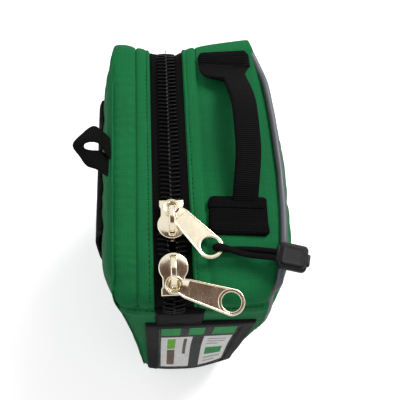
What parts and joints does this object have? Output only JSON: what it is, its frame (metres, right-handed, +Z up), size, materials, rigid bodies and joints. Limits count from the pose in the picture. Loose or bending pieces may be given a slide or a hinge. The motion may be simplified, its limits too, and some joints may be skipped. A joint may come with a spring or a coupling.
{
  "type": "first aid kit bag",
  "caption": "Soft padded first aid bag with off-centre double-slider zip, folding zip lips, webbing handle, hang loop, belt band, label pocket and packed dressings.",
  "frame": {"origin": "centre of the base on the floor", "axes": "+Z up, +Y along the zip away from the label end, +X towards the piped front panel"},
  "size_m": [0.1221, 0.17, 0.1978],
  "materials": {
    "green_cloth": "woven",
    "black_webbing": "ribbed weave",
    "black_plastic": "moulded",
    "grey_plastic": "moulded",
    "reflective_cloth": "fine glass-bead sheen",
    "nickel": "polished nickel",
    "steel": "brushed",
    "clear_vinyl": "clear",
    "printed_card": "printed",
    "carton": "printed carton",
    "white_gauze": "loose gauze",
    "white_wrap": "sealed paper",
    "blue_wrap": "film",
    "foil_wrap": "film"
  },
  "bodies": {
    "bag": {"front_panel": "green_cloth", "back_panel": "green_cloth", "base_panel": "green_cloth", "near_end_panel": "green_cloth", "far_end_panel": "green_cloth", "top_left_panel": "green_cloth", "top_right_panel": "green_cloth", "front_piping": "reflective_cloth", "near_zip_facing": "green_cloth", "far_zip_facing": "green_cloth", "near_zip_tape": "black_webbing", "far_zip_tape": "black_webbing", "near_zip_coil": "black_plastic", "far_zip_coil": "black_plastic", "near_zip_patch": "black_webbing", "far_zip_patch": "black_webbing", "near_handle_anchor": "black_webbing", "far_handle_anchor": "black_webbing", "belt_band": "black_webbing", "label_binding": "black_webbing", "label_window": "clear_vinyl", "label_card": "printed_card", "divider_panel": "green_cloth", "tool_band": "black_webbing", "tweezers": "steel", "bandage_roll_large": "white_gauze", "bandage_roll_small": "white_gauze", "tape_roll": "white_gauze", "tape_core": "carton", "gauze_packs": "white_wrap", "plaster_box": "carton", "wipe_packs": "blue_wrap", "glove_pack": "blue_wrap", "foil_blanket_pack": "foil_wrap"},
    "left_lip": {"left_zip_facing": "green_cloth", "left_zip_tape": "black_webbing", "left_zip_coil": "black_plastic"},
    "right_lip": {"right_zip_facing": "green_cloth", "right_zip_tape": "black_webbing", "right_zip_coil": "black_plastic"},
    "far_slider": {"far_slider_body": "nickel", "far_slider_bridge": "nickel"},
    "far_puller": {"far_puller": "nickel"},
    "pull_tab": {"pull_cord": "black_webbing", "pull_grip": "black_plastic", "pull_grip_cover": "grey_plastic"},
    "near_slider": {"near_slider_body": "nickel", "near_slider_bridge": "nickel"},
    "near_puller": {"near_puller": "nickel"},
    "handle": {"handle_strap": "black_webbing"},
    "hang_loop": {"hang_loop": "black_webbing"}
  },
  "joints": [
    {"name": "far_slider_slide", "type": "slide", "parent": "bag", "child": "far_slider", "axis": [0, 1, 0], "range_m": [0, 0.082], "deforming": ["left_zip_tape", "right_zip_tape", "left_zip_coil", "right_zip_coil", "pull_cord"]},
    {"name": "left_lip_fold", "type": "hinge", "parent": "bag", "child": "left_lip", "pos_m": [-0.031, 0, 0.1776], "axis": [0, 1, 0], "range_deg": [0, 85]},
    {"name": "right_lip_fold", "type": "hinge", "parent": "bag", "child": "right_lip", "pos_m": [0.0056, 0, 0.1776], "axis": [0, -1, 0], "range_deg": [0, 85]},
    {"name": "far_puller_swing", "type": "hinge", "parent": "far_slider", "child": "far_puller", "pos_m": [-0.0127, -0.0316, 0.18465], "axis": [0, 0, 1], "range_deg": [-5, 32]},
    {"name": "pull_tab_lift", "type": "hinge", "parent": "far_puller", "child": "pull_tab", "pos_m": [0.01132, -0.05453, 0.18465], "axis": [-0.189, -0.982, 0], "range_deg": [0, 110]},
    {"name": "near_slider_slide", "type": "slide", "parent": "bag", "child": "near_slider", "axis": [0, 0.9945, 0.1045], "range_m": [0, 0.0055]},
    {"name": "near_puller_swing", "type": "hinge", "parent": "near_slider", "child": "near_puller", "pos_m": [-0.0127, -0.07152, 0.18236], "axis": [0, -0.1045, 0.9945], "range_deg": [-70, 18]},
    {"name": "handle_swing", "type": "hinge", "parent": "bag", "child": "handle", "pos_m": [0.0258, 0, 0.183], "axis": [0, 1, 0], "range_deg": [-10, 40]},
    {"name": "hang_loop_swing", "type": "hinge", "parent": "bag", "child": "hang_loop", "pos_m": [-0.0475, 0, 0.1788], "axis": [0, 1, 0], "range_deg": [-25, 60]}
  ],
  "couplings": [
    {"joint": "left_lip_fold", "follows": "far_slider_slide", "rad_per_m": 18},
    {"joint": "right_lip_fold", "follows": "far_slider_slide", "rad_per_m": 18}
  ]
}
